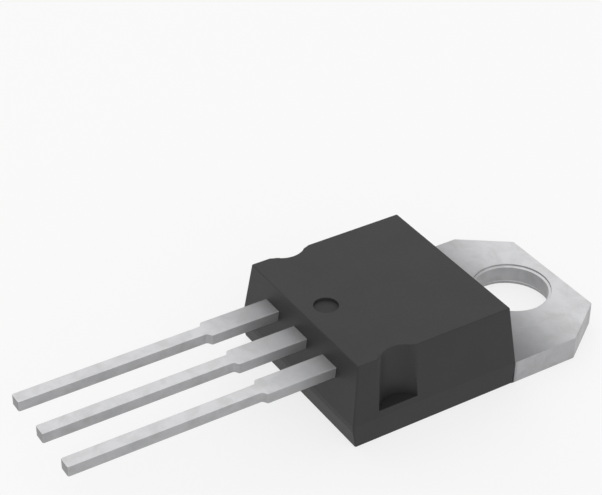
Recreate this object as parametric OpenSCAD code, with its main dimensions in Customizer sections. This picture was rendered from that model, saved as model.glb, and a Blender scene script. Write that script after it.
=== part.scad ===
// Power MOSFET in a three-lead through-hole package with a heatsink tab.
// Millimetres. The origin is where the mounting hole's axis meets the back
// (seating) plane. +Z leaves the front face, +Y runs to the end of the tab
// and the leads run to -Y.

/* [Moulded body] */
// Width of the body at its parting line
body_w = 10.1; // [9.6:0.05:10.6]
// Length of the body at its parting line
body_l = 9.38; // [9.2:0.02:10.2]
// Thickness of the body, from its back face to its front face
body_t = 4.45; // [4.35:0.05:5]
// Distance from the mounting hole's axis to the body, at the parting line
hole_to_body = 3.6; // [3.2:0.05:4.2]
// Draft of the sides in front of the parting line, in degrees
front_side_draft = 5.9; // [3:0.1:8]
// Draft of both ends in front of the parting line, in degrees
front_end_draft = 6.9; // [4:0.1:9]
// Draft of the sides behind the parting line, in degrees
back_side_draft = 1; // [0.5:0.1:6]
// Draft of the tab end behind the parting line, in degrees
back_tab_end_draft = 6.5; // [4:0.1:10]
// Draft of the lead end behind the parting line, in degrees
back_lead_end_draft = 9; // [4:0.1:16]
// Height of the straight band behind the parting line
parting_land = 0.3; // [0.1:0.05:0.5]
// Radius of the body's upright corners
corner_r = 0.08; // [0.08:0.01:0.3]
// Radius of the edges round the front and back faces
edge_r = 0.06; // [0.03:0.01:0.07]

/* [Side notches] */
// Radius of the round notch in each side
notch_r = 1.18; // [0.9:0.02:1.3]
// Distance from the body's side, at the parting line, out to the notch's axis
notch_axis_out = 0.42; // [0.3:0.02:0.7]
// Distance from the lead end, at the parting line, to the notch's axis
notch_from_end = 2.52; // [2.2:0.02:4]
// Height of the notch's floor above the header
notch_floor_cover = 0.36; // [0.2:0.02:0.6]

/* [Ejector mark] */
// Diameter of the round ejector mark in the front face
mark_d = 1.22; // [0.8:0.02:1.8]
// Depth of the ejector mark
mark_depth = 0.15; // [0.05:0.01:0.2]
// Distance from the lead end, at the parting line, to the mark's centre
mark_from_end = 1.68; // [1.5:0.02:2.4]

/* [Heatsink tab] */
// Width of the tab
tab_w = 10.1; // [9.6:0.05:10.6]
// Thickness of the tab
tab_t = 1.27; // [1.1:0.01:1.4]
// Distance from the hole's axis to the end of the tab
tab_end = 2.65; // [2.4:0.05:3.2]
// Width that each corner chamfer takes off the tab's end
chamfer_w = 1.84; // [0.5:0.02:2.4]
// Length that each corner chamfer takes off the tab's side
chamfer_l = 2.54; // [0.5:0.02:3]

/* [Mounting hole] */
// Diameter of the bore
hole_d = 3.85; // [3.4:0.01:4]
// Diameter at the foot of the coined rim's step at the back
back_rim_d = 4.18; // [4.04:0.02:4.6]
// Depth of the back rim's step
back_rim_step = 0.14; // [0.04:0.01:0.2]
// Depth at which the back rim's bevel meets the bore
back_rim_depth = 0.33; // [0.22:0.01:0.4]
// Diameter at the foot of the coined rim's step at the front
front_rim_d = 4.08; // [4.04:0.02:4.5]
// Depth of the front rim's step
front_rim_step = 0.09; // [0.03:0.01:0.12]
// Depth at which the front rim's bevel meets the bore
front_rim_depth = 0.14; // [0.13:0.01:0.3]
// Draft that the coining punch leaves on both rims' steps, in degrees
rim_draft = 8; // [4:1:15]

/* [Leads] */
// Distance between the leads' centre lines
lead_pitch = 2.54; // [2.3:0.02:2.7]
// Thickness of the leads
lead_t = 0.56; // [0.4:0.01:0.65]
// Height of the leads' back faces above the seating plane
lead_z = 2.84; // [2.4:0.02:3]
// Width of each lead's shoulder, next to the body
shoulder_w = 1.2; // [1:0.02:1.5]
// Distance from the lead end, at the parting line, to the end of the shoulder
shoulder_l = 3.36; // [2.5:0.02:4.2]
// Width of each lead past its shoulder
lead_w = 0.7; // [0.5:0.01:0.88]
// Distance from the lead end, at the parting line, to the leads' tips
lead_l = 13.26; // [8:0.02:15]
// Slope of the shoulder's step, in degrees from the lead's length
step_slope = 60; // [45:1:75]
// Radius of the rounded corner at the top of the step
step_corner_r = 0.1; // [0.04:0.01:0.12]
// Radius of the fillet at the foot of the step
step_fillet_r = 0.15; // [0.05:0.01:0.16]
// Radius of the tips' corners
tip_r = 0.08; // [0.02:0.01:0.2]

/* [Header and posts inside the body] */
// Width of the header
header_w = 8.4; // [7:0.1:9]
// Thickness of the header
header_t = 0.7; // [0.62:0.01:0.9]
// Distance from the lead end, at the parting line, to the header's end
header_from_end = 2.58; // [2.5:0.02:3]
// Distance that the tab's full section runs into the body
tab_embed = 0.02; // [0.01:0.01:0.1]
// Bend radius inside the drain lead's jog
jog_r = 0.3; // [0.15:0.01:0.4]
// Slope of the drain lead's jog, in degrees
jog_slope = 60; // [50:1:75]
// Width of the gate and source posts
post_w = 2.1; // [1.6:0.05:2.2]
// Length of the gate and source posts
post_l = 1.4; // [1.2:0.05:1.5]
// Distance from the lead end, at the parting line, to the posts' inner edges
post_from_end = 2.08; // [2:0.02:2.4]

/* [Die] */
// Width of the silicon die
die_w = 4; // [3.6:0.1:5]
// Length of the silicon die
die_l = 3.5; // [3:0.1:4]
// Thickness of the silicon die
die_t = 0.25; // [0.15:0.01:0.3]
// Thickness of the solder under the die
solder_t = 0.05; // [0.03:0.01:0.1]
// Width of the solder that shows round the die
solder_rim = 0.1; // [0.05:0.01:0.3]
// Distance from the header's end to the die
die_from_header_end = 0.65; // [0.4:0.05:1]

/* [Bond wires] */
// Diameter of the two source wires
source_wire_d = 0.38; // [0.25:0.01:0.4]
// Distance between the two source wires
source_wire_gap = 0.9; // [0.7:0.05:1]
// Diameter of the gate wire
gate_wire_d = 0.15; // [0.1:0.01:0.2]
// Angle at which a wire comes down on its post, in degrees
loop_fall = 20; // [19:1:30]
// Distance from the die's middle out to the middle of the source bonds
source_bond_x = 0.8; // [0.6:0.05:1]
// Distance from the die's lead end to the source bonds
source_bond_y = 1.26; // [1:0.02:1.6]
// Distance from the die's side to the gate bond
gate_bond_x = 0.56; // [0.3:0.02:0.8]
// Distance from the die's lead end to the gate bond
gate_bond_y = 1.05; // [0.4:0.05:1.6]
// Distance from a post's inner edge to the bonds on it
post_bond_y = 0.45; // [0.4:0.01:0.6]

/* [Hidden] */

$fn = 64;
arc_steps = 5;       // straight pieces in each small arc of an outline
corner_facets = 32;  // facets in a full turn of the body's rounded corners
cut = 1;             // how far a cutting shape runs past what it cuts
lap = 0.2;           // how far joined shapes of one solid run into each other

// The body's walls. The leadframe's front face lies on the parting line.
parting_z = tab_t;
land_z = parting_z - parting_land;
front_inset_x = (body_t - parting_z) * tan(front_side_draft);
front_inset_y = (body_t - parting_z) * tan(front_end_draft);
back_inset_x = land_z * tan(back_side_draft);
tab_end_y = -hole_to_body;
lead_end_y = tab_end_y - body_l;

// Where a wall stands at its parting line, front edge and back edge
front_half_w = body_w / 2 - front_inset_x;
back_half_w = body_w / 2 - back_inset_x;
front_tab_end_y = tab_end_y - front_inset_y;
front_lead_end_y = lead_end_y + front_inset_y;
back_tab_end_y = tab_end_y - land_z * tan(back_tab_end_draft);
back_lead_end_y = lead_end_y + land_z * tan(back_lead_end_draft);

notch_z = tab_t + notch_floor_cover;

// The tab's full section ends just inside the body and goes on as the header
tab_shoulder_y = tab_end_y - tab_embed;
back_shoulder_y = back_tab_end_y - tab_embed;
header_z = tab_t - header_t;
header_end_y = lead_end_y + header_from_end;

// The jog lifts the drain lead from the header to the plane of the other leads
jog_rise = lead_z + lead_t - tab_t;
jog_mid_r = jog_r + lead_t / 2;
jog_straight = (jog_rise - 2 * jog_mid_r * (1 - cos(jog_slope))) / sin(jog_slope);
jog_run = 2 * jog_mid_r * sin(jog_slope) + jog_straight * cos(jog_slope);
jog_end_y = header_end_y - jog_run;

post_y = lead_end_y + post_from_end - post_l;
post_top_z = lead_z + lead_t;

die_end_y = header_end_y + die_from_header_end;
die_y = die_end_y + die_l / 2;
solder_top_z = tab_t + solder_t;
die_top_z = solder_top_z + die_t;

// A bond's foot, measured in wire diameters
foot_l = 1.8;
foot_w = 1.3;
foot_h = 0.95;

// Where the wires are bonded
source_wires = 2;
source_feet_y = die_end_y + source_bond_y;
gate_foot_x = gate_bond_x - die_w / 2;
gate_foot_y = die_end_y + gate_bond_y;
post_feet_y = post_y + post_l - post_bond_y;

// Points along an arc round c from angle a0 to a1
function arc(c, r, a0, a1) =
    [for (i = [0:arc_steps]) let (a = a0 + (a1 - a0) * i / arc_steps) c + r * [cos(a), sin(a)]];

// Side view of the jog, u along the lead and v up from the strip's middle
function jog_outline() =
    let (
        near = [0, jog_mid_r],
        far = [jog_run, jog_rise - jog_mid_r],
        outer_r = jog_r + lead_t,
        half_t = lead_t / 2
    )
    concat(
        [[-lap, -half_t]],
        arc(near, outer_r, -90, jog_slope - 90),
        arc(far, jog_r, jog_slope + 90, 90),
        [[jog_run + lap, jog_rise - half_t], [jog_run + lap, jog_rise + half_t]],
        arc(far, outer_r, 90, jog_slope + 90),
        arc(near, jog_r, jog_slope - 90, -90),
        [[-lap, half_t]]
    );

// Closes an outline by adding its mirror image across x = 0
function mirrored(points) =
    concat(points, [for (i = [len(points) - 1:-1:0]) [-points[i][0], points[i][1]]]);

// Right-hand side of a lead, from root_y to its tip
function lead_side(root_y) =
    let (
        half_s = shoulder_w / 2,
        half_n = lead_w / 2,
        turn = 1 - cos(step_slope),
        slant_x = half_s - half_n - (step_corner_r + step_fillet_r) * turn,
        slant_y = slant_x / tan(step_slope),
        corner_y = lead_end_y - shoulder_l,
        fillet_y = corner_y - slant_y - (step_corner_r + step_fillet_r) * sin(step_slope),
        tip_y = lead_end_y - lead_l
    )
    concat(
        [[half_s, root_y]],
        arc([half_s - step_corner_r, corner_y], step_corner_r, 0, -step_slope),
        arc([half_n + step_fillet_r, fillet_y], step_fillet_r, 180 - step_slope, 180),
        arc([half_n - tip_r, tip_y + tip_r], tip_r, 0, -90)
    );

// ---- Moulded body ----

// A rounded corner's cap: a disc of radius corner_r with its upper rim rounded
module corner_cap() {
    rotate_extrude($fn = corner_facets)
        polygon(concat(
            [[0, 0]],
            arc([corner_r - edge_r, 0], edge_r, 0, 90),
            [[0, edge_r]]
        ));
}

// Places its child at the four corners of a level of the body
module at_corners(half_w, y_lead, y_tab, z) {
    for (x = [corner_r - half_w, half_w - corner_r])
        for (y = [y_lead + corner_r, y_tab - corner_r])
            translate([x, y, z])
                children();
}

// The outside of the body: a block drafted both ways from its parting line
module mould_block() {
    hull() {
        at_corners(front_half_w, front_lead_end_y, front_tab_end_y, body_t - edge_r)
            corner_cap();
        at_corners(body_w / 2, lead_end_y, tab_end_y, land_z)
            cylinder(r = corner_r, h = parting_land, $fn = corner_facets);
        at_corners(back_half_w, back_lead_end_y, back_tab_end_y, edge_r)
            mirror([0, 0, 1])
                corner_cap();
    }
}

// Round notches in both sides, open to the front
module side_notches() {
    for (side = [-1, 1])
        translate([side * (body_w / 2 + notch_axis_out), lead_end_y + notch_from_end, notch_z])
            cylinder(r = notch_r, h = body_t - notch_z + cut);
}

module ejector_mark() {
    translate([0, lead_end_y + mark_from_end, body_t - mark_depth])
        cylinder(d = mark_d, h = mark_depth + cut);
}

module mould_body() {
    color("#434345")
        difference() {
            mould_block();
            side_notches();
            ejector_mark();
            tab_and_drain_lead();
            gate_lead();
            source_lead();
            die_solder();
            mosfet_die();
            source_wire_1();
            source_wire_2();
            gate_wire();
        }
}

// ---- Leadframe ----

// The tab: its outline seen from the front, and from the side its shoulder,
// which leans as the body's tab end does
module tab_plate() {
    intersection() {
        linear_extrude(tab_t)
            polygon(mirrored([
                [tab_w / 2, back_shoulder_y - lap],
                [tab_w / 2, tab_end - chamfer_l],
                [tab_w / 2 - chamfer_w, tab_end],
            ]));
        translate([-tab_w / 2 - cut, 0, 0])
            rotate([90, 0, 90])
                linear_extrude(tab_w + 2 * cut)
                    polygon([
                        [back_shoulder_y, 0],
                        [tab_end + cut, 0],
                        [tab_end + cut, tab_t],
                        [tab_shoulder_y, tab_t],
                        [tab_shoulder_y, land_z],
                    ]);
    }
}

// The mounting hole with a coined rim at each face
module mounting_hole() {
    bore_r = hole_d / 2;
    back_r = back_rim_d / 2;
    front_r = front_rim_d / 2;
    lean = tan(rim_draft);
    rotate_extrude()
        polygon([
            [0, -cut],
            [back_r + (back_rim_step + cut) * lean, -cut],
            [back_r, back_rim_step],
            [bore_r, back_rim_depth],
            [bore_r, tab_t - front_rim_depth],
            [front_r, tab_t - front_rim_step],
            [front_r + (front_rim_step + cut) * lean, tab_t + cut],
            [0, tab_t + cut],
        ]);
}

// The header under the die, level with the tab's front and stepped up from its back
module header() {
    translate([-header_w / 2, header_end_y, header_z])
        cube([header_w, tab_shoulder_y + lap - header_end_y, header_t]);
}

// The bent strip that joins the header's end to the drain lead
module jog() {
    translate([-shoulder_w / 2, header_end_y, tab_t - lead_t / 2])
        rotate([90, 0, 90])
            mirror([1, 0, 0])
                linear_extrude(shoulder_w)
                    polygon(jog_outline());
}

// A lead from root_y, inside the body, to its tip
module lead(root_y) {
    translate([0, 0, lead_z])
        linear_extrude(lead_t)
            polygon(mirrored(lead_side(root_y)));
}

// A side lead ends inside the body in a wide post for its bond wires
module side_lead() {
    lead(post_y + lead_t);
    translate([-post_w / 2, post_y, lead_z])
        cube([post_w, post_l, lead_t]);
}

module tab_and_drain_lead() {
    color("#c9cacc") {
        difference() {
            tab_plate();
            mounting_hole();
        }
        header();
        jog();
        lead(jog_end_y);
    }
}

module gate_lead() {
    color("#c9cacc")
        translate([-lead_pitch, 0, 0])
            side_lead();
}

module source_lead() {
    color("#c9cacc")
        translate([lead_pitch, 0, 0])
            side_lead();
}

// ---- Die and bond wires ----

// A plate centred over the die's place on the header
module die_plate(w, l, t, z) {
    translate([-w / 2, die_y - l / 2, z])
        cube([w, l, t]);
}

module die_solder() {
    color("#8f9196")
        die_plate(die_w + 2 * solder_rim, die_l + 2 * solder_rim, solder_t, tab_t);
}

module mosfet_die() {
    color("#5c6470")
        die_plate(die_w, die_l, die_t, solder_top_z);
}

// A wire of diameter d, bonded to the die at p1 and to a post at p2: one arc
// that rises from a flat foot and comes down on another
module bond_wire(p1, p2, d) {
    span = norm(p2 - p1);
    rise = post_top_z - die_top_z;
    line = atan2(rise, span);
    take_off = 2 * line + loop_fall;
    loop_r = norm([span, rise]) / 2 / sin(line + loop_fall);
    foot = [foot_l * d, foot_w * d, foot_h * d];

    translate([p1[0], p1[1], die_top_z])
        rotate([0, 0, atan2(p2[1] - p1[1], p2[0] - p1[0])]) {
            for (end = [[0, 0], [span, rise]])
                translate([end[0] - foot[0] / 2, -foot[1] / 2, end[1]])
                    cube(foot);
            translate([0, 0, foot[2] / 2])
                rotate([90, 0, 0])
                    translate([loop_r * sin(take_off), -loop_r * cos(take_off), 0])
                        rotate([0, 0, 90 - loop_fall])
                            rotate_extrude(angle = take_off + loop_fall)
                                translate([loop_r, 0])
                                    circle(d = d);
        }
}

// Source wire number i, counted outwards from the middle
module source_wire(i) {
    shift = (i - (source_wires + 1) / 2) * source_wire_gap;
    color("#d8d9da")
        bond_wire(
            [source_bond_x + shift, source_feet_y],
            [lead_pitch + shift, post_feet_y],
            source_wire_d
        );
}

module source_wire_1() source_wire(1);

module source_wire_2() source_wire(2);

module gate_wire() {
    color("#d8d9da")
        bond_wire(
            [gate_foot_x, gate_foot_y],
            [-lead_pitch, post_feet_y],
            gate_wire_d
        );
}

mould_body();
tab_and_drain_lead();
gate_lead();
source_lead();
die_solder();
mosfet_die();
source_wire_1();
source_wire_2();
gate_wire();
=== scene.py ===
"""Dresses a power MOSFET in a three-lead package with a heatsink tab, and sets its stage.

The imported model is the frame: metres, the origin where the mounting hole's axis meets the
back plane, +Z out of the front face and the leads along -Y.
"""

import math

import bmesh
import bpy
from mathutils import Matrix, Vector


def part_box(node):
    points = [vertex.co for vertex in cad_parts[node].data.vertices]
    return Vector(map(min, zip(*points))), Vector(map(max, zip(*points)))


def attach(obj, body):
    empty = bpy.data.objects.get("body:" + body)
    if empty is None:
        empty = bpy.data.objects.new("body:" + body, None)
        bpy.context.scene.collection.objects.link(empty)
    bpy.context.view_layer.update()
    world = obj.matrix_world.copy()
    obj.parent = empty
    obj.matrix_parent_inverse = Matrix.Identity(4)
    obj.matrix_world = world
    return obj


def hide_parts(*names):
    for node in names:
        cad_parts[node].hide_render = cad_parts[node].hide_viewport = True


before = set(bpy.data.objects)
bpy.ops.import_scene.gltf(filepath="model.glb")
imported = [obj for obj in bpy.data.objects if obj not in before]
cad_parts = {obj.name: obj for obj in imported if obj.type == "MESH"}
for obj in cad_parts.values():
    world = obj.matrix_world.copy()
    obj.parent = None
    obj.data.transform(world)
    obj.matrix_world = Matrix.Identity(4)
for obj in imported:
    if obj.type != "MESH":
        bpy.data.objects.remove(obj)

bl_info = {
    "name": "Power MOSFET",
    "version": (1, 0, 0),
    "blender": (4, 5, 0),
    "location": "3D View > Sidebar > MOSFET",
    "description": "Models the finished surfaces of a power MOSFET and sets its stage",
    "category": "Object",
}

MM = 0.001
TINY = 1e-7  # Metres: places closer than this are one place
SHARP = math.radians(35)  # Faces that turn by more than this meet at a sharp edge
FULL_TURN = 96  # Facets in a full turn of the hole, a notch or the floor
Y, Z = 1, 2  # Numbers of the axes
FLOOR_R = 1.5  # Metres
SENSOR_W = 36  # Millimetres, the film width that the lens is given for
WHITE = (1, 1, 1, 1)
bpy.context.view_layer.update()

# What the frame already says about the sizes
BODY_LOW, BODY_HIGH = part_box("mould_body")
FRAME_LOW, FRAME_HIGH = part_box("tab_and_drain_lead")
GATE_LOW, GATE_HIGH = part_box("gate_lead")
SOURCE_LOW, SOURCE_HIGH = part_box("source_lead")


# ---- Settings ----


def srgb(code):
    """Linear red, green and blue of an sRGB hex colour."""
    parts = [int(code[i:i + 2], 16) / 255 for i in (1, 3, 5)]
    return tuple(p / 12.92 if p <= 0.04045 else ((p + 0.055) / 1.055) ** 2.4 for p in parts)


def length(name, description, mm):
    return bpy.props.FloatProperty(
        name=name, description=description, default=mm * MM, unit="LENGTH", precision=5
    )


def angle(name, description, degrees):
    return bpy.props.FloatProperty(
        name=name, description=description, default=math.radians(degrees), unit="ROTATION"
    )


def colour(name, description, code):
    return bpy.props.FloatVectorProperty(
        name=name, description=description, default=srgb(code), subtype="COLOR", size=3,
        min=0, max=1,
    )


def share(name, description, value):
    return bpy.props.FloatProperty(
        name=name, description=description, default=value, min=0, max=1, subtype="FACTOR"
    )


def number(name, description, value, unit="NONE"):
    return bpy.props.FloatProperty(
        name=name, description=description, default=value, unit=unit
    )


class MosfetBody(bpy.types.PropertyGroup):
    """Sizes of the moulded body"""

    front_side_draft: angle(
        "Front side draft", "Draft of the sides in front of the parting line", 5.9)
    front_end_draft: angle(
        "Front end draft", "Draft of the ends in front of the parting line", 6.9)
    back_side_draft: angle(
        "Back side draft", "Draft of the sides behind the parting line", 1)
    back_tab_draft: angle(
        "Back tab-end draft", "Draft of the tab end behind the parting line", 6.5)
    back_lead_draft: angle(
        "Back lead-end draft", "Draft of the lead end behind the parting line", 9)
    land: length("Parting land", "Height of the upright band behind the parting line", 0.3)
    land_r: length("Land edge", "Rounding of the two edges of the parting land", 0.03)
    corner_r: length("Corner radius", "Radius of the upright corners", 0.08)
    edge_r: length("Edge radius", "Radius round the front and back faces", 0.06)
    notch_r: length("Notch radius", "Radius of the round notch in each side", 1.18)
    notch_out: length("Notch axis", "Distance from the side out to the notch's axis", 0.42)
    notch_end: length("Notch place", "Distance from the lead end to the notch's axis", 2.52)
    notch_cover: length("Notch floor", "Height of the notch's floor above the tab's front", 0.36)
    notch_lip: length("Notch lip", "Width of the tapered relief along the notch's edges", 0.2)
    floor_edge_r: length("Floor edge", "Rounding of the notch floor's outer edge", 0.04)
    mark_d: length("Mark diameter", "Diameter of the ejector mark", 1.22)
    mark_depth: length("Mark depth", "Depth of the ejector mark", 0.15)
    mark_end: length("Mark place", "Distance from the lead end to the mark's centre", 1.68)
    mark_edge_r: length("Mark edge", "Rounding of the mark's rim", 0.025)


class MosfetTab(bpy.types.PropertyGroup):
    """Sizes of the tab, the header and the drain lead's jog"""

    thickness: length("Thickness", "Thickness of the tab", 1.27)
    embed: length("Embedding", "Distance that the tab runs into the body", 0.02)
    chamfer_w: length("Chamfer width", "Width that a corner chamfer takes off the end", 1.84)
    chamfer_l: length("Chamfer length", "Length that a corner chamfer takes off the side", 2.54)
    corner_r: length("Corner radius", "Radius of the stamped outline's corners", 0.12)
    front_roll: length("Front edge", "Die roll round the front of the stamped edge", 0.06)
    back_roll: length("Back edge", "Rounding round the back of the stamped edge", 0.03)
    hole_d: length("Hole diameter", "Diameter of the bore", 3.85)
    back_rim_d: length("Back rim diameter", "Diameter at the foot of the back rim's step", 4.18)
    back_rim_step: length("Back rim step", "Depth of the back rim's step", 0.14)
    back_rim_depth: length(
        "Back rim depth", "Depth at which the back bevel meets the bore", 0.33)
    front_rim_d: length(
        "Front rim diameter", "Diameter at the foot of the front rim's step", 4.08)
    front_rim_step: length("Front rim step", "Depth of the front rim's step", 0.09)
    front_rim_depth: length(
        "Front rim depth", "Depth at which the front bevel meets the bore", 0.14)
    rim_draft: angle("Rim draft", "Draft that the coining punch leaves on the steps", 8)
    rim_roll: length("Rim edge", "Rounding where a rim's step meets the face", 0.02)
    header_w: length("Header width", "Width of the header inside the body", 8.4)
    header_t: length("Header thickness", "Thickness of the header", 0.7)
    header_end: length("Header end", "Distance from the body's lead end to the header", 2.58)
    jog_r: length("Jog radius", "Bend radius inside the drain lead's jog", 0.3)
    jog_slope: angle("Jog slope", "Slope of the drain lead's jog", 60)


class MosfetLeads(bpy.types.PropertyGroup):
    """Sizes that the three leads share"""

    shoulder_w: length("Shoulder width", "Width of a lead's shoulder", 1.2)
    shoulder_l: length(
        "Shoulder length", "Distance from the body's lead end to the shoulder's end", 3.36)
    width: length("Width", "Width of a lead past its shoulder", 0.7)
    step_slope: angle("Step slope", "Slope of the shoulder's step from the lead's length", 60)
    step_corner_r: length("Step corner", "Radius at the top of the step", 0.1)
    step_fillet_r: length("Step fillet", "Radius at the foot of the step", 0.15)
    tip_r: length("Tip corner", "Radius of the tip's corners", 0.08)
    roll: length("Edge", "Rounding of the plated long edges", 0.03)
    post_l: length(
        "Post length", "Length of the gate and source posts inside the body", 1.4)


class MosfetFinish(bpy.types.PropertyGroup):
    """Colours and surfaces"""

    compound: colour("Moulding compound", "Black epoxy with its grey silica filler", "#2C2C2C")
    compound_dark: colour(
        "Compound, resin-rich", "The patches with less filler at the surface", "#29292A")
    cavity_matte: share("Cavity matte", "Roughness of epoxy off the eroded cavity", 0.53)
    pin_matte: share("Pin matte", "Roughness of epoxy off the ejector pin", 0.65)
    tin: colour("Tin plate", "Matte tin over copper", "#DADADC")
    tin_sheared: colour("Sheared tin", "The thinner plate on the sheared edges", "#B2B2B4")
    tin_stain: colour(
        "Tin stain", "What handling stains leave of the tin's colour", "#EFEFEE")
    # Painted shade: the tin is darkened next to the body, where the body shades it. These set
    # its colour, how far it runs out and how strong it is
    painted_body_shade: colour(
        "Painted shade by body", "Tin darkened next to the body, as painted shade", "#7E7E80")
    shade_on_leads: length(
        "Shade along leads", "How far the painted shade runs out on the leads' rolled faces", 4.5)
    shade_on_tab: length(
        "Shade along tab", "How far the painted shade runs out on the tab's rolled faces", 5.5)
    shade_share_on_leads: share(
        "Shade on leads", "Strength of the painted shade on a lead's rolled face", 0.7)
    shade_share_on_tab: share(
        "Shade on tab", "Strength of the painted shade on the tab's rolled face", 1)
    edge_shade_on_leads: length(
        "Edge shade along leads", "How far the painted shade runs out on the leads' sheared edges", 3.5)
    edge_shade_on_tab: length(
        "Edge shade along tab", "How far the painted shade runs out on the tab's sheared edges", 0.2)
    edge_shade_share: share("Edge shade", "Strength of the painted shade on a sheared edge", 0.5)
    cut_tin: colour("Cut tip", "Sheared end of a lead", "#9C9C9C")
    solder: colour("Die solder", "Dull lead-tin solder", "#8F9196")
    silicon: colour("Silicon", "Polished silicon", "#5C6470")
    aluminium: colour("Bond wire", "Drawn aluminium wire", "#D8D9DA")


class MosfetStage(bpy.types.PropertyGroup):
    """Camera, floor and light"""

    azimuth: angle("Azimuth", "Camera's way round the part, 0 looks along +Y", 57.75)
    elevation: angle("Elevation", "Camera's height above the horizon", 34.534)
    roll: angle("Roll", "Camera's turn about its own axis", 0.541)
    aim_x: length("Aim X", "Where the camera's axis meets the floor, across", -10.163)
    aim_y: length("Aim Y", "Where the camera's axis meets the floor, along", -6.317)
    distance: length("Distance", "From that point to the camera", 94.269)
    lens: number("Lens", "Focal length in millimetres", 104.345, "CAMERA")
    floor: colour("Floor", "Floor as it is looked at", "#FAFAFA")
    bounce: colour("Floor bounce", "Floor as it lights the part", "#BEBEBE")
    floor_white: share("Floor white", "How much of the floor shows as plain white", 0.74)
    sky: share("Sky", "Light from the horizon before and behind", 0.12)
    overhead: share("Overhead", "What the light gains towards the zenith", 0.42)
    sides: number("Sides", "What the light gains towards either side", 1.5)
    sides_azimuth: angle(
        "Sides azimuth", "Way to the brighter sides, 0 is beyond the leads", 72)
    key_x: length("Soft box X", "Place of the soft box across", -100)
    key_y: length("Soft box Y", "Place of the soft box along", -100)
    key_z: length("Soft box Z", "Height of the soft box", 320)
    key_size: length("Soft box size", "Side of the square soft box", 340)
    key_power: number("Soft box power", "Power of the soft box in watts", 0.12, "POWER")


# ---- Materials ----


def socket(sockets, name):
    """The socket of that name, or of that number, that the node's mode has in use."""
    if isinstance(name, int):
        return sockets[name]
    return next(s for s in sockets if s.name == name and s.enabled)


def add(tree, kind, inputs=None, **settings):
    """Adds a node. An input is a value, a node, or a node with its output's name."""
    made = tree.nodes.new(kind)
    for name, value in settings.items():
        setattr(made, name, value)
    for name, value in (inputs or {}).items():
        target = socket(made.inputs, name)
        if isinstance(value, bpy.types.Node):
            tree.links.new(next(s for s in value.outputs if s.enabled), target)
        elif isinstance(value, tuple) and isinstance(value[0], bpy.types.Node):
            tree.links.new(socket(value[0].outputs, value[1]), target)
        else:
            target.default_value = value
    return made


def new_material(name):
    """A material with an empty tree, and that tree."""
    material = bpy.data.materials.new(name)
    material.use_nodes = True
    material.node_tree.nodes.clear()
    return material, material.node_tree


def end_material(tree, shader):
    add(tree, "ShaderNodeOutputMaterial", {"Surface": shader})


def per(mm):
    """Noise scale at which one blotch or grain is about so many millimetres wide."""
    return 1 / (mm * MM)


def rgba(value):
    return (*value, 1)


def moulding_compound(finish, name, matte):
    """Black epoxy moulding compound, transfer-moulded in a spark-eroded cavity.

    It gives the eye a dark, even grey with a dull sheen and a fine sandy grain, and a
    darker patch where the ejector pin's worn face has left it duller.
    """
    material, tree = new_material(name)
    place = add(tree, "ShaderNodeTexCoord")
    # Patches about 2 mm wide, where the filler has thinned out as the compound flowed
    flow = add(tree, "ShaderNodeTexNoise", {
        "Vector": (place, "Object"), "Scale": per(2.2), "Detail": 3, "Roughness": 0.55,
    })
    patches = add(tree, "ShaderNodeMapRange", {
        "Value": flow, "From Min": 0.35, "From Max": 0.65,
    })
    tone = add(tree, "ShaderNodeMix", {
        "Factor": patches, "A": rgba(finish.compound), "B": rgba(finish.compound_dark),
    }, data_type="RGBA")
    # The eroded grain is about 0.03 mm wide, drawn at 0.07 mm so that it shows
    grain = add(tree, "ShaderNodeTexNoise", {
        "Vector": (place, "Object"), "Scale": per(0.07), "Detail": 4, "Roughness": 0.7,
    })
    bump = add(tree, "ShaderNodeBump", {
        "Height": grain, "Strength": 0.35, "Distance": 0.012 * MM,
    })
    sheen = add(tree, "ShaderNodeMapRange", {
        "Value": grain, "From Min": 0.3, "From Max": 0.7, "To Min": matte - 0.05,
        "To Max": matte + 0.05,
    })
    # Epoxy's index is about 1.5, and its broken-up skin mirrors a little less than that
    shader = add(tree, "ShaderNodeBsdfPrincipled", {
        "Base Color": (tone, "Result"), "Roughness": sheen, "Normal": bump, "IOR": 1.43,
    })
    end_material(tree, shader)
    return material


def near_body_shade(tree, place, leads_shade, tab_shade):
    """How much painted shade the tin gets: most at the body, running out along the
    leads and the tab. Each shade is its reach and its share at the body."""
    along = add(tree, "ShaderNodeSeparateXYZ", {"Vector": (place, "Object")})
    ends = ((BODY_LOW.y, -1, leads_shade), (BODY_HIGH.y, 1, tab_shade))
    on_leads, on_tab = (add(tree, "ShaderNodeMapRange", {
        "Value": (along, "Y"), "From Min": end_y + way * reach, "From Max": end_y,
        "To Max": shade_depth,
    }, interpolation_type="SMOOTHSTEP") for end_y, way, (reach, shade_depth) in ends)
    # Past the body's middle only the tab's painted shade counts
    past_middle = add(tree, "ShaderNodeMath", {
        0: (along, "Y"), 1: (BODY_LOW.y + BODY_HIGH.y) / 2,
    }, operation="GREATER_THAN")
    leads_or_tab = add(tree, "ShaderNodeMath", {
        0: on_leads, 1: past_middle,
    }, operation="MAXIMUM")
    return add(tree, "ShaderNodeMath", {0: leads_or_tab, 1: on_tab}, operation="MINIMUM")


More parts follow.
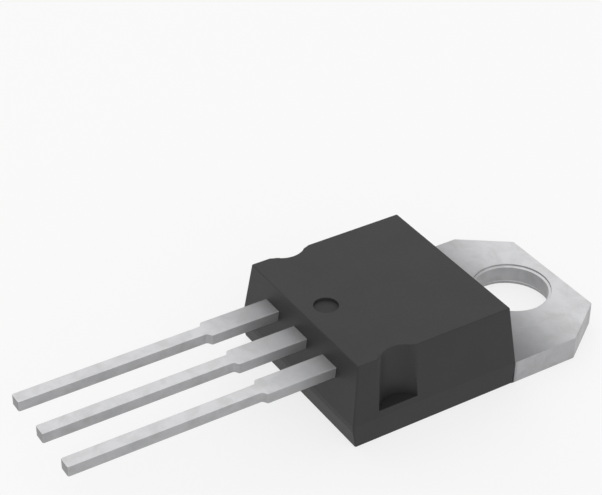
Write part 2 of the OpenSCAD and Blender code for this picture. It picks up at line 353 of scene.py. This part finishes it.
def tin_plate(finish, name, tin, streak_axis, streak_depth, leads_shade, tab_shade):
    """Matte tin electroplated on a stamped copper frame.

    It gives the eye a pale satin grey with soft reflections, cloudy stains from handling
    and faint streaks: along the strip where it was rolled, across it where it was sheared.
    Next to the body it is darker: painted shade, standing for the shade that the body casts
    there.
    """
    material, tree = new_material(name)
    place = add(tree, "ShaderNodeTexCoord")
    # Stains about 0.9 mm wide
    clouds = add(tree, "ShaderNodeTexNoise", {
        "Vector": (place, "Object"), "Scale": per(0.9), "Detail": 5, "Roughness": 0.65,
        "Distortion": 0.4,
    })
    stain = add(tree, "ShaderNodeMapRange", {
        "Value": clouds, "From Min": 0.42, "From Max": 0.68,
    })
    tone = add(tree, "ShaderNodeMix", {
        "Factor": stain, "A": rgba(tin), "B": rgba(a * b for a, b in zip(tin, finish.tin_stain)),
    }, data_type="RGBA")
    # Painted shade: the tin's colour is darkened towards the body, where the body shades it
    shaded = add(tree, "ShaderNodeMix", {
        "Factor": near_body_shade(tree, place, leads_shade, tab_shade), "A": (tone, "Result"),
        "B": rgba(finish.painted_body_shade),
    }, data_type="RGBA")
    # Rolling and shearing lines are about 0.01 mm wide, drawn at 0.06 mm so that they show,
    # and 20 times as long
    stretch = [1.0, 1.0, 1.0]
    stretch[streak_axis] = 0.05
    drawn = add(tree, "ShaderNodeMapping", {
        "Vector": (place, "Object"), "Scale": stretch,
    })
    streaks = add(tree, "ShaderNodeTexNoise", {
        "Vector": drawn, "Scale": per(0.06), "Detail": 3, "Roughness": 0.6,
    })
    # The tin's own grain is under 0.01 mm wide, drawn at 0.05 mm so that it shows
    grain = add(tree, "ShaderNodeTexNoise", {
        "Vector": (place, "Object"), "Scale": per(0.05), "Detail": 2,
    })
    lines = add(tree, "ShaderNodeBump", {
        "Height": streaks, "Strength": streak_depth, "Distance": 0.01 * MM,
    })
    bump = add(tree, "ShaderNodeBump", {
        "Height": grain, "Strength": 0.25, "Distance": 0.005 * MM, "Normal": lines,
    })
    gloss = add(tree, "ShaderNodeMapRange", {
        "Value": clouds, "From Min": 0.35, "From Max": 0.7, "To Min": 0.4, "To Max": 0.5,
    })
    # The open grain of matte tin scatters about half of the light, so it is half a metal
    shader = add(tree, "ShaderNodeBsdfPrincipled", {
        "Base Color": (shaded, "Result"), "Roughness": gloss, "Normal": bump, "Metallic": 0.5,
    })
    end_material(tree, shader)
    return material


def cut_metal(finish):
    """End of a lead, sheared off the strip.

    It gives the eye a duller, rougher grey than the plate round it.
    """
    material, tree = new_material("sheared_tin_end")
    place = add(tree, "ShaderNodeTexCoord")
    # Torn grain about 0.1 mm wide
    tears = add(tree, "ShaderNodeTexNoise", {
        "Vector": (place, "Object"), "Scale": per(0.12), "Detail": 4, "Roughness": 0.7,
    })
    bump = add(tree, "ShaderNodeBump", {
        "Height": tears, "Strength": 0.5, "Distance": 0.02 * MM,
    })
    shader = add(tree, "ShaderNodeBsdfPrincipled", {
        "Base Color": rgba(finish.cut_tin), "Roughness": 0.6, "Metallic": 0.8, "Normal": bump,
    })
    end_material(tree, shader)
    return material


def plain_material(name, tint, metallic, roughness, grain_mm, depth_mm):
    """A material of the sealed inner pieces: a tint with a fine grain in it."""
    material, tree = new_material(name)
    place = add(tree, "ShaderNodeTexCoord")
    grain = add(tree, "ShaderNodeTexNoise", {
        "Vector": (place, "Object"), "Scale": per(grain_mm), "Detail": 2,
    })
    bump = add(tree, "ShaderNodeBump", {
        "Height": grain, "Strength": 0.4, "Distance": depth_mm * MM,
    })
    gloss = add(tree, "ShaderNodeMapRange", {
        "Value": grain, "To Min": roughness - 0.05, "To Max": roughness + 0.05,
    })
    shader = add(tree, "ShaderNodeBsdfPrincipled", {
        "Base Color": rgba(tint), "Roughness": gloss, "Metallic": metallic, "Normal": bump,
    })
    end_material(tree, shader)
    return material


# ---- Mesh work ----


def bevel(bm, edges, radius, segments):
    """Rounds edges. The radius is the distance that each face loses."""
    return bmesh.ops.bevel(
        bm, geom=edges, offset=radius, offset_type="OFFSET", segments=segments, profile=0.5,
        affect="EDGES", material=-1,
    )["faces"]


def push(bm, face, move, scale=(1, 1, 1)):
    """Draws a face of a closed shape out by move, resized about its middle."""
    made = bmesh.ops.extrude_face_region(bm, geom=[face])["geom"]
    bmesh.ops.delete(bm, geom=[face], context="FACES_ONLY")
    end = next(g for g in made if isinstance(g, bmesh.types.BMFace))
    middle = end.calc_center_median()
    bmesh.ops.scale(bm, verts=end.verts, vec=scale, space=Matrix.Translation(-middle))
    bmesh.ops.translate(bm, verts=end.verts, vec=move)
    return end


def swing(bm, face, centre, turn, steps):
    """Sweeps a face of a closed shape about an axis along X."""
    made = bmesh.ops.spin(
        bm, geom=[face], cent=centre, axis=(1, 0, 0), angle=turn, steps=steps
    )["geom_last"]
    bmesh.ops.delete(bm, geom=[face], context="FACES_ONLY")
    return next(g for g in made if isinstance(g, bmesh.types.BMFace))


def cut_strip(bm, face, middle_x, width, low_z=None):
    """Cuts a strip of that width out of a face, and above low_z if given, and returns it."""
    cuts = [
        (Vector((middle_x - width / 2, 0, 0)), Vector((1, 0, 0))),
        (Vector((middle_x + width / 2, 0, 0)), Vector((-1, 0, 0))),
    ]
    if low_z is not None:
        cuts.append((Vector((0, 0, low_z)), Vector((0, 0, 1))))
    parts = [face]
    for point, normal in cuts:
        geom = list(dict.fromkeys(g for f in parts for g in (f, *f.edges, *f.verts)))
        made = bmesh.ops.bisect_plane(
            bm, geom=geom, dist=TINY, plane_co=point, plane_no=normal
        )["geom"]
        parts = [g for g in made if isinstance(g, bmesh.types.BMFace)
                 and (g.calc_center_median() - point).dot(normal) > 0]
    return parts[0]


def facing(bm, way):
    """The face that looks most nearly that way."""
    way = Vector(way)
    return max(bm.faces, key=lambda face: face.normal.dot(way))


def upright(edge):
    """Does an edge stand, give or take a mould's draft?"""
    line = edge.verts[1].co - edge.verts[0].co
    return abs(line.normalized().z) > 0.9


def lying(edge):
    """Does an edge lie level?"""
    line = edge.verts[1].co - edge.verts[0].co
    return abs(line.normalized().z) < 0.01


def all_at(edge, axis, place):
    """Do both ends of an edge lie at that place along an axis?"""
    return all(abs(v.co[axis] - place) < TINY for v in edge.verts)


def between(edge, first, second):
    """Does an edge part a face that passes the first test from one that passes the second?"""
    if len(edge.link_faces) != 2:
        return False
    a, b = edge.link_faces
    return (first(a) and second(b)) or (first(b) and second(a))


def make_piece(name, bm, materials, node):
    """Closes a bmesh into a piece that stands for a CAD node."""
    bmesh.ops.recalc_face_normals(bm, faces=bm.faces)
    mesh = bpy.data.meshes.new(name)
    bm.to_mesh(mesh)
    bm.free()
    if not mesh.polygons:
        raise RuntimeError(f"{name} came out empty")
    for material in materials:
        mesh.materials.append(material)
    mesh.polygons.foreach_set("use_smooth", [True] * len(mesh.polygons))
    mesh.set_sharp_from_angle(angle=SHARP)
    piece = bpy.data.objects.new(name, mesh)
    bpy.context.scene.collection.objects.link(piece)
    weigh = piece.modifiers.new("even_flats", "WEIGHTED_NORMAL")
    weigh.keep_sharp = True
    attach(piece, "root")
    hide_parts(node)
    return piece


# ---- Moulded body ----


def drafted_block(body, parting_z):
    """The body's outside, drafted both ways from the parting land, with round corners."""
    low, high = BODY_LOW, BODY_HIGH
    land_z = parting_z - body.land
    size = Vector((high.x - low.x, high.y - low.y, body.land))
    middle = Vector((0, (low.y + high.y) / 2, parting_z - body.land / 2))
    front_h = high.z - parting_z
    front_in = Vector((front_h * math.tan(body.front_side_draft),
                       front_h * math.tan(body.front_end_draft)))
    back_in_x = land_z * math.tan(body.back_side_draft)
    back_tab_in = land_z * math.tan(body.back_tab_draft)
    back_lead_in = land_z * math.tan(body.back_lead_draft)

    bm = bmesh.new()
    bmesh.ops.create_cube(
        bm, size=1, matrix=Matrix.Translation(middle) @ Matrix.Diagonal((*size, 1))
    )
    front, back = facing(bm, (0, 0, 1)), facing(bm, (0, 0, -1))
    push(bm, front, (0, 0, front_h),
         (1 - 2 * front_in.x / size.x, 1 - 2 * front_in.y / size.y, 1))
    push(bm, back, (0, (back_lead_in - back_tab_in) / 2, -land_z),
         (1 - 2 * back_in_x / size.x, 1 - (back_lead_in + back_tab_in) / size.y, 1))
    bevel(bm, [e for e in bm.edges if upright(e)], body.corner_r, segments=5)
    return bm


def cut_away(bm, cutter):
    """Takes the cutting shapes out of a closed shape."""
    whole = bpy.data.meshes.new("whole")
    tool = bpy.data.meshes.new("tool")
    for source, mesh in ((bm, whole), (cutter, tool)):
        bmesh.ops.recalc_face_normals(source, faces=source.faces)
        source.to_mesh(mesh)
        source.free()
    solid, knife = (bpy.data.objects.new(m.name, m) for m in (whole, tool))
    for item in (solid, knife):
        bpy.context.scene.collection.objects.link(item)
    modifier = solid.modifiers.new("cut", "BOOLEAN")
    modifier.operation = "DIFFERENCE"
    modifier.solver = "EXACT"
    modifier.use_self = True
    modifier.object = knife
    graph = bpy.context.evaluated_depsgraph_get()
    result = bmesh.new()
    result.from_mesh(solid.evaluated_get(graph).data)
    for item in (solid, knife):
        bpy.data.objects.remove(item)
    for mesh in (whole, tool):
        bpy.data.meshes.remove(mesh)
    bmesh.ops.remove_doubles(result, verts=result.verts, dist=TINY)
    bmesh.ops.dissolve_degenerate(result, edges=result.edges, dist=TINY)
    return result


def notch_axis(body):
    """Where the axis of the notch on the +X side stands."""
    return Vector((BODY_HIGH.x + body.notch_out, BODY_LOW.y + body.notch_end))


def mark_axis(body):
    """Where the ejector mark's axis stands."""
    return Vector((0, BODY_LOW.y + body.mark_end))


def relieve_lip(bm, body, parting_z, notch_z, side, way):
    """A wedge that breaks one upright edge of a notch, from nothing at the notch's floor."""
    axis = notch_axis(body)
    draft = math.tan(body.front_side_draft)

    def lip(z, turn=0):
        in_x = body.notch_out + (z - parting_z) * draft
        a = math.acos(in_x / body.notch_r) - turn
        return Vector((side * (axis.x - body.notch_r * math.cos(a)),
                       axis.y + way * body.notch_r * math.sin(a), z))

    heel, top = lip(notch_z), lip(BODY_HIGH.z)
    on_side = top + Vector((0, way * body.notch_lip, 0))
    on_notch = lip(BODY_HIGH.z, body.notch_lip / body.notch_r)
    clear = 3 * top - on_side - on_notch
    past_front = 1.3  # Times the lip's own height, so that the wedge cuts clean through
    verts = [bm.verts.new(heel.lerp(p, past_front)) for p in (heel, on_side, on_notch, clear)]
    bmesh.ops.convex_hull(bm, input=verts)


def add_insert(bm, centre, radius, low_z, facets):
    """A round insert of the mould, from low_z to well past the front face."""
    depth = BODY_HIGH.z - low_z + 1 * MM
    bmesh.ops.create_cone(
        bm, cap_ends=True, segments=facets, radius1=radius, radius2=radius, depth=depth,
        matrix=Matrix.Translation((*centre, low_z + depth / 2)),
    )


def mould_inserts(body, parting_z, notch_z):
    """The mould's parts that leave the two side notches and the ejector mark."""
    bm = bmesh.new()
    notch = notch_axis(body)
    for side in (-1, 1):
        add_insert(bm, (side * notch.x, notch.y), body.notch_r, notch_z, facets=FULL_TURN)
        for way in (-1, 1):
            relieve_lip(bm, body, parting_z, notch_z, side, way)
    mark_z = BODY_HIGH.z - body.mark_depth
    add_insert(bm, mark_axis(body), body.mark_d / 2, mark_z, facets=64)
    return bm


def model_body(body, parting_z):
    """The body as the mould and its inserts leave it, with its edges rounded."""
    notch_z = parting_z + body.notch_cover
    bm = cut_away(drafted_block(body, parting_z), mould_inserts(body, parting_z, notch_z))
    notch, mark = notch_axis(body), mark_axis(body)
    near = 0.01 * MM

    def on_notch(edge):
        places = (Vector((abs(v.co.x), v.co.y)) for v in edge.verts)
        return all(abs((p - notch).length - body.notch_r) < near for p in places)

    def on_mark(edge):
        return all(abs((v.co.xy - mark).length - body.mark_d / 2) < near for v in edge.verts)

    def flat_at(z):
        return lambda face: abs(face.normal.z) > 0.99 and abs(face.verts[0].co.z - z) < near

    def steep(face):
        return abs(face.normal.z) < 0.7

    def outer_wall(face):
        plumb = abs(face.normal.z) < 0.01
        return steep(face) and not (plumb and all(on_notch(e) for e in face.edges))

    def round_off(test, radius, segments):
        bm.normal_update()
        bevel(bm, [e for e in bm.edges if test(e)], radius, segments)

    front, back, notch_floor = (flat_at(z) for z in (BODY_HIGH.z, BODY_LOW.z, notch_z))
    land_lines = (parting_z, parting_z - body.land)
    round_off(lambda e: (between(e, front, steep) or between(e, back, steep))
              and not on_mark(e), body.edge_r, segments=4)
    round_off(lambda e: between(e, notch_floor, outer_wall) and not on_notch(e),
              body.floor_edge_r, segments=3)
    round_off(lambda e: between(e, front, steep) and on_mark(e),
              body.mark_edge_r, segments=2)
    round_off(lambda e: lying(e) and any(abs(e.verts[0].co.z - z) < near for z in land_lines),
              body.land_r, segments=2)
    # On edges this blunt a bevel can leave its corners a few microns proud
    for vert in bm.verts:
        vert.co.x = min(max(vert.co.x, BODY_LOW.x), BODY_HIGH.x)
        vert.co.y = min(max(vert.co.y, BODY_LOW.y), BODY_HIGH.y)
    return bm


def paint_body(bm, body):
    """Material numbers: 0 off the eroded cavity, 1 off the ejector pin's face."""
    mark, mark_z = mark_axis(body), BODY_HIGH.z - body.mark_depth
    for face in bm.faces:
        middle = face.calc_center_median()
        on_pin = (middle.xy - mark).length < body.mark_d / 2
        face.material_index = int(on_pin and abs(middle.z - mark_z) < 0.001 * MM)


# ---- Leadframe ----


def rim_profile(tab):
    """Half section of the hole, radius and height, from the back to the front."""
    lean = math.tan(tab.rim_draft)
    bore, back, front = tab.hole_d / 2, tab.back_rim_d / 2, tab.front_rim_d / 2
    return [
        (back + tab.back_rim_step * lean, 0),
        (back, tab.back_rim_step),
        (bore, tab.back_rim_depth),
        (bore, tab.thickness - tab.front_rim_depth),
        (front, tab.thickness - tab.front_rim_step),
        (front + tab.front_rim_step * lean, tab.thickness),
    ]


def add_hole(bm, tab, back, front):
    """Puts the punched and coined hole through the plate between its back and front."""
    level = 0.01  # Radians: faces that turn by less are one flat
    outlines = [list(back.edges), list(front.edges)]
    bmesh.ops.delete(bm, geom=[back, front], context="FACES_ONLY")
    verts = [bm.verts.new((r, 0, z)) for r, z in rim_profile(tab)]
    edges = [bm.edges.new(pair) for pair in zip(verts, verts[1:])]
    before = set(bm.faces)
    bmesh.ops.spin(
        bm, geom=verts + edges, cent=(0, 0, 0), axis=(0, 0, 1), angle=2 * math.pi,
        steps=FULL_TURN, use_merge=True,
    )
    bore = [f for f in bm.faces if f not in before]
    rings = [e for f in bore for e in f.edges if len(e.link_faces) == 1]
    for outline, z in zip(outlines, (0, tab.thickness)):
        ring = [e for e in rings if all_at(e, Z, z)]
        filled = bmesh.ops.triangle_fill(bm, edges=outline + ring, use_beauty=True)["geom"]
        inner = [g for g in filled if isinstance(g, bmesh.types.BMEdge)
                 and g not in outline and g not in ring]
        bmesh.ops.dissolve_limit(bm, angle_limit=level, edges=inner)
    bmesh.ops.recalc_face_normals(bm, faces=bm.faces)
    bevel(bm, rings, tab.rim_roll, segments=2)


def draw_lead(bm, face, leads, tip_y):
    """Draws a lead out of its root face: shoulder, step, shank and tip."""
    half_turn = math.tan(leads.step_slope / 2)
    corner_y = BODY_LOW.y - leads.shoulder_l - leads.step_corner_r * half_turn
    step_l = (leads.shoulder_w - leads.width) / 2 / math.tan(leads.step_slope)
    foot_y = corner_y - step_l
    taper = leads.width / leads.shoulder_w
    middle = face.calc_center_median()
    shoulder = push(bm, face, (0, corner_y - middle.y, 0))
    foot = push(bm, shoulder, (0, -step_l, 0), (taper, 1, 1))
    push(bm, foot, (0, tip_y - foot_y, 0))

    def corners(y):
        return [e for e in bm.edges if upright(e) and all_at(e, Y, y)
                and abs(e.verts[0].co.x - middle.x) < leads.shoulder_w]

    bevel(bm, corners(corner_y), leads.step_corner_r * half_turn, segments=4)
    bevel(bm, corners(foot_y), leads.step_fillet_r * half_turn, segments=4)
    bevel(bm, corners(tip_y), leads.tip_r, segments=3)


def roll_edges(bm, leads, root_y):
    """Rounds the front and back edges of a lead past root_y."""
    cut_turn = math.radians(60)  # At a cut edge the faces turn by more than this
    bm.normal_update()
    edges = [
        e for e in bm.edges
        if lying(e) and all(v.co.y < root_y + TINY for v in e.verts)
        and any(abs(e.verts[0].co.z - z) < TINY for z in (GATE_LOW.z, GATE_HIGH.z))
        and len(e.link_faces) == 2 and e.calc_face_angle(0) > cut_turn
    ]
    bevel(bm, edges, leads.roll, segments=3)


def stamp_plate(tab, shoulder_y):
    """The tab's plate with its stamped corners and edges. The wall at shoulder_y, inside the
    body, stays sharp."""
    side = [
        (FRAME_HIGH.x, shoulder_y),
        (FRAME_HIGH.x, FRAME_HIGH.y - tab.chamfer_l),
        (FRAME_HIGH.x - tab.chamfer_w, FRAME_HIGH.y),
    ]
    outline = side + [(-x, y) for x, y in reversed(side)]
    bm = bmesh.new()
    back = bm.faces.new([bm.verts.new((x, y, 0)) for x, y in outline])
    made = bmesh.ops.extrude_face_region(bm, geom=[back])["geom"]
    front = next(g for g in made if isinstance(g, bmesh.types.BMFace))
    bmesh.ops.translate(bm, verts=front.verts, vec=(0, 0, tab.thickness))
    bmesh.ops.recalc_face_normals(bm, faces=bm.faces)

    half_turn = math.radians(20)  # About half of what the outline turns by at a corner
    corners = [e for e in bm.edges if upright(e) and not all_at(e, Y, shoulder_y)]
    bevel(bm, corners, tab.corner_r * math.tan(half_turn), segments=3)
    for z, roll in ((tab.thickness, tab.front_roll), (0, tab.back_roll)):
        rim = [e for e in bm.edges if all_at(e, Z, z) and not all_at(e, Y, shoulder_y)]
        bevel(bm, rim, roll, segments=3)
    bm.normal_update()
    return bm


def draw_jog(bm, strip, tab, lead_t):
    """Bends the drain lead's strip up from the header to the other leads' height."""
    slope, bend_r = tab.jog_slope, tab.jog_r + lead_t / 2
    start_y = strip.calc_center_median().y
    low_z, high_z = tab.thickness - lead_t / 2, (GATE_LOW.z + GATE_HIGH.z) / 2
    straight = (high_z - low_z - 2 * bend_r * (1 - math.cos(slope))) / math.sin(slope)
    run = 2 * bend_r * math.sin(slope) + straight * math.cos(slope)
    bent = swing(bm, strip, (0, start_y, low_z + bend_r), -slope, steps=6)
    risen = push(bm, bent, (0, -straight * math.cos(slope), straight * math.sin(slope)))
    return swing(bm, risen, (0, start_y - run, high_z - bend_r), slope, steps=6)


def model_tab_and_drain(tab, leads, body):
    """The tab, its header, the jog and the drain lead, all in one piece."""
    shoulder_y = BODY_HIGH.y - tab.embed
    header_y = BODY_LOW.y + tab.header_end
    lead_t = GATE_HIGH.z - GATE_LOW.z
    bm = stamp_plate(tab, shoulder_y)
    back, front = facing(bm, (0, 0, -1)), facing(bm, (0, 0, 1))
    root = cut_strip(bm, facing(bm, (0, -1, 0)), 0, tab.header_w, tab.thickness - tab.header_t)
    # The shoulder's foot goes as far back as the body's drafted wall does there
    drafted_in = (tab.thickness - body.land) * math.tan(body.back_tab_draft)
    foot = [v for v in bm.verts if abs(v.co.z) < TINY and v.co.y < shoulder_y + TINY]
    bmesh.ops.translate(bm, verts=foot, vec=(0, -drafted_in, 0))
    header = push(bm, root, (0, header_y - shoulder_y, 0))
    strip = cut_strip(bm, header, 0, leads.shoulder_w, tab.thickness - lead_t)
    end = draw_jog(bm, strip, tab, lead_t)
    end_y = end.calc_center_median().y
    draw_lead(bm, end, leads, FRAME_LOW.y)
    roll_edges(bm, leads, end_y)
    bm.normal_update()
    add_hole(bm, tab, back, front)
    return bm


def model_side_lead(leads, low, high):
    """A gate or source lead with the post that its bond wires land on."""
    middle_x = (low.x + high.x) / 2
    root_y = high.y - leads.post_l
    size = Vector((high.x - low.x, leads.post_l, high.z - low.z))
    place = Vector((middle_x, high.y - leads.post_l / 2, (low.z + high.z) / 2))
    bm = bmesh.new()
    bmesh.ops.create_cube(
        bm, size=1, matrix=Matrix.Translation(place) @ Matrix.Diagonal((*size, 1))
    )
    root = cut_strip(bm, facing(bm, (0, -1, 0)), middle_x, leads.shoulder_w)
    draw_lead(bm, root, leads, low.y)
    roll_edges(bm, leads, root_y)
    return bm


def paint_metal(bm):
    """Material numbers: 0 rolled faces, 1 sheared edges, 2 cut tips."""
    bmesh.ops.recalc_face_normals(bm, faces=bm.faces)
    bm.normal_update()
    tip_y = min(v.co.y for v in bm.verts) + 0.01 * MM
    for face in bm.faces:
        if abs(face.normal.z) > 0.5:
            face.material_index = 0
        elif face.normal.y < -0.9 and face.calc_center_median().y < tip_y:
            face.material_index = 2
        else:
            face.material_index = 1


# ---- Operators ----


class MOSFET_OT_body(bpy.types.Operator):
    """Model the moulded body with its notches and ejector mark"""

    bl_idname = "mosfet.body"
    bl_label = "Moulded body"
    bl_options = {"REGISTER", "UNDO"}

    def execute(self, context):
        scene = context.scene
        body, finish = scene.mosfet_body, scene.mosfet_finish
        bm = model_body(body, scene.mosfet_tab.thickness)
        paint_body(bm, body)
        materials = [
            moulding_compound(finish, "epoxy_off_eroded_cavity", finish.cavity_matte),
            moulding_compound(finish, "epoxy_off_ejector_pin", finish.pin_matte),
        ]
        make_piece("moulded_body", bm, materials, "mould_body")
        return {"FINISHED"}


class MOSFET_OT_leadframe(bpy.types.Operator):
    """Model the tab with its drain lead, and the gate and source leads"""

    bl_idname = "mosfet.leadframe"
    bl_label = "Tab and leads"
    bl_options = {"REGISTER", "UNDO"}

    def execute(self, context):
        scene = context.scene
        tab, leads, finish = scene.mosfet_tab, scene.mosfet_leads, scene.mosfet_finish
        # The tin is darkened next to the body by painted shade, set by the shade settings
        materials = [
            tin_plate(
                finish, "matte_tin_rolled", finish.tin, streak_axis=Y, streak_depth=0.15,
                leads_shade=(finish.shade_on_leads, finish.shade_share_on_leads),
                tab_shade=(finish.shade_on_tab, finish.shade_share_on_tab)),
            tin_plate(
                finish, "matte_tin_sheared", finish.tin_sheared, streak_axis=Z, streak_depth=0.5,
                leads_shade=(finish.edge_shade_on_leads, finish.edge_shade_share),
                tab_shade=(finish.edge_shade_on_tab, finish.edge_shade_share)),
            cut_metal(finish),
        ]
        shapes = (
            ("tab_with_drain", "tab_and_drain_lead",
             model_tab_and_drain(tab, leads, scene.mosfet_body)),
            ("gate", "gate_lead", model_side_lead(leads, GATE_LOW, GATE_HIGH)),
            ("source", "source_lead", model_side_lead(leads, SOURCE_LOW, SOURCE_HIGH)),
        )
        for name, node, bm in shapes:
            paint_metal(bm)
            make_piece(name, bm, materials, node)
        return {"FINISHED"}


class MOSFET_OT_inner_parts(bpy.types.Operator):
    """Finish the die, its solder and the bond wires, which the body seals in"""

    bl_idname = "mosfet.inner_parts"
    bl_label = "Die and wires"
    bl_options = {"REGISTER", "UNDO"}

    def execute(self, context):
        finish = context.scene.mosfet_finish
        # Soft solder, reflowed: a dull grey, cloudy at 0.15 mm
        solder = plain_material(
            "reflowed_solder", finish.solder, metallic=1, roughness=0.45, grain_mm=0.15,
            depth_mm=0.01)
        # Silicon, ground and polished: dark and glossy
        silicon = plain_material(
            "polished_silicon", finish.silicon, metallic=0.6, roughness=0.15, grain_mm=0.02,
            depth_mm=0.001)
        # Aluminium wire, drawn: pale and bright, with a fine grain
        wire = plain_material(
            "drawn_aluminium", finish.aluminium, metallic=1, roughness=0.3, grain_mm=0.03,
            depth_mm=0.003)
        finishes = {
            "die_solder": solder, "mosfet_die": silicon, "source_wire_1": wire,
            "source_wire_2": wire, "gate_wire": wire,
        }
        for name, material in finishes.items():
            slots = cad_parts[name].material_slots
            if not slots:
                raise RuntimeError(f"{name} has no material slot")
            for slot in slots:
                slot.link = "OBJECT"
                slot.material = material
        return {"FINISHED"}


class MOSFET_OT_stage(bpy.types.Operator):
    """Set the floor, the light and the camera"""

    bl_idname = "mosfet.stage"
    bl_label = "Stage"
    bl_options = {"REGISTER", "UNDO"}

    def execute(self, context):
        stage = context.scene.mosfet_stage
        make_floor(stage)
        make_sky(stage)
        make_soft_box(stage)
        make_camera(stage)
        return {"FINISHED"}


# ---- Stage ----


def looked_at(tree):
    """1 to the eye and in a gloss or a glass, and 0 where the surface only gives light."""
    rays = add(tree, "ShaderNodeLightPath")
    gloss = add(tree, "ShaderNodeMath", {
        0: (rays, "Is Camera Ray"), 1: (rays, "Is Glossy Ray"),
    }, operation="MAXIMUM")
    return add(tree, "ShaderNodeMath", {
        0: gloss, 1: (rays, "Is Transmission Ray"),
    }, operation="MAXIMUM")


def make_floor(stage):
    """A pale floor under the part, so wide that its edge lies past the camera's view."""
    bm = bmesh.new()
    bmesh.ops.create_circle(bm, cap_ends=True, segments=FULL_TURN, radius=FLOOR_R)
    mesh = bpy.data.meshes.new("floor")
    bm.to_mesh(mesh)
    bm.free()
    floor = bpy.data.objects.new("floor", mesh)
    bpy.context.scene.collection.objects.link(floor)
    # White card, matte: plain white with only a breath of the part's shadow on it
    material, tree = new_material("white_card")
    eye = looked_at(tree)
    tone = add(tree, "ShaderNodeMix", {
        "Factor": eye, "A": rgba(stage.bounce), "B": rgba(stage.floor),
    }, data_type="RGBA")
    lit = add(tree, "ShaderNodeBsdfDiffuse", {"Color": (tone, "Result")})
    plain = add(tree, "ShaderNodeEmission", {"Color": WHITE, "Strength": 1})
    share_white = add(tree, "ShaderNodeMath", {
        0: eye, 1: stage.floor_white,
    }, operation="MULTIPLY")
    end_material(tree, add(tree, "ShaderNodeMixShader", {
        "Fac": share_white, 1: lit, 2: plain,
    }))
    mesh.materials.append(material)


def make_sky(stage):
    """Soft light that is brighter towards both sides and overhead."""
    world = bpy.data.worlds.new("studio")
    bpy.context.scene.world = world
    world.use_nodes = True
    tree = world.node_tree
    tree.nodes.clear()
    way = add(tree, "ShaderNodeTexCoord")
    across = (math.sin(stage.sides_azimuth), -math.cos(stage.sides_azimuth), 0)
    sideways = add(tree, "ShaderNodeVectorMath", {
        0: (way, "Generated"), 1: across,
    }, operation="DOT_PRODUCT")
    both_sides = add(tree, "ShaderNodeMath", {
        0: (sideways, "Value"), 1: (sideways, "Value"),
    }, operation="MULTIPLY")
    round_about = add(tree, "ShaderNodeMath", {
        0: both_sides, 1: stage.sides, 2: stage.sky,
    }, operation="MULTIPLY_ADD")
    height = add(tree, "ShaderNodeSeparateXYZ", {"Vector": (way, "Generated")})
    level = add(tree, "ShaderNodeMath", {
        0: (height, "Z"), 1: stage.overhead, 2: round_about,
    }, operation="MULTIPLY_ADD")
    light = add(tree, "ShaderNodeBackground", {"Color": WHITE, "Strength": level})
    white = add(tree, "ShaderNodeBackground", {"Color": WHITE, "Strength": 1})
    seen = add(tree, "ShaderNodeMixShader", {"Fac": looked_at(tree), 1: light, 2: white})
    add(tree, "ShaderNodeOutputWorld", {"Surface": seen})


def make_soft_box(stage):
    """A wide square soft box, high up on the lead end's side, turned to the body."""
    lamp = bpy.data.lights.new("soft_box", "AREA")
    lamp.size = stage.key_size
    lamp.energy = stage.key_power
    holder = bpy.data.objects.new("soft_box", lamp)
    holder.location = (stage.key_x, stage.key_y, stage.key_z)
    towards = (BODY_LOW + BODY_HIGH) / 2 - holder.location
    holder.rotation_euler = towards.to_track_quat("-Z", "Y").to_euler()
    bpy.context.scene.collection.objects.link(holder)


def make_camera(stage):
    """A long lens that looks down on the part from beyond its lead end."""
    a, e = stage.azimuth, stage.elevation
    back = Vector((math.sin(a) * math.cos(e), -math.cos(a) * math.cos(e), math.sin(e)))
    camera = bpy.data.cameras.new("camera")
    camera.lens = stage.lens
    camera.sensor_width = SENSOR_W
    camera.clip_start, camera.clip_end = 1 * MM, 4 * FLOOR_R
    holder = bpy.data.objects.new("camera", camera)
    aim = Vector((stage.aim_x, stage.aim_y, 0))
    turn = (-back).to_track_quat("-Z", "Y").to_matrix().to_4x4()
    roll = Matrix.Rotation(stage.roll, 4, "Z")
    holder.matrix_world = Matrix.Translation(aim + back * stage.distance) @ turn @ roll
    bpy.context.scene.collection.objects.link(holder)
    bpy.context.scene.camera = holder


# ---- Add-on ----


class MOSFET_PT_panel(bpy.types.Panel):
    """Sizes, finishes and builders of the power MOSFET"""

    bl_idname = "MOSFET_PT_panel"
    bl_label = "Power MOSFET"
    bl_space_type = "VIEW_3D"
    bl_region_type = "UI"
    bl_category = "MOSFET"

    def draw(self, context):
        for name, group in GROUPS.items():
            box = self.layout.box()
            box.label(text=group[0])
            for key in group[1].__annotations__:
                box.prop(getattr(context.scene, name), key)
        for operator in OPERATORS:
            self.layout.operator(operator.bl_idname)


GROUPS = {
    "mosfet_body": ("Moulded body", MosfetBody),
    "mosfet_tab": ("Tab and header", MosfetTab),
    "mosfet_leads": ("Leads", MosfetLeads),
    "mosfet_finish": ("Finish", MosfetFinish),
    "mosfet_stage": ("Stage", MosfetStage),
}
OPERATORS = (MOSFET_OT_body, MOSFET_OT_leadframe, MOSFET_OT_inner_parts, MOSFET_OT_stage)


def register():
    for name, (_, group) in GROUPS.items():
        bpy.utils.register_class(group)
        setattr(bpy.types.Scene, name, bpy.props.PointerProperty(type=group))
    for operator in OPERATORS:
        bpy.utils.register_class(operator)
    bpy.utils.register_class(MOSFET_PT_panel)


def unregister():
    bpy.utils.unregister_class(MOSFET_PT_panel)
    for operator in reversed(OPERATORS):
        bpy.utils.unregister_class(operator)
    for name, (_, group) in reversed(GROUPS.items()):
        delattr(bpy.types.Scene, name)
        bpy.utils.unregister_class(group)


def main():
    register()
    bpy.context.scene.view_settings.view_transform = "Standard"
    bpy.ops.mosfet.body()
    bpy.ops.mosfet.leadframe()
    bpy.ops.mosfet.inner_parts()
    bpy.ops.mosfet.stage()


if __name__ == "__main__":
    main()
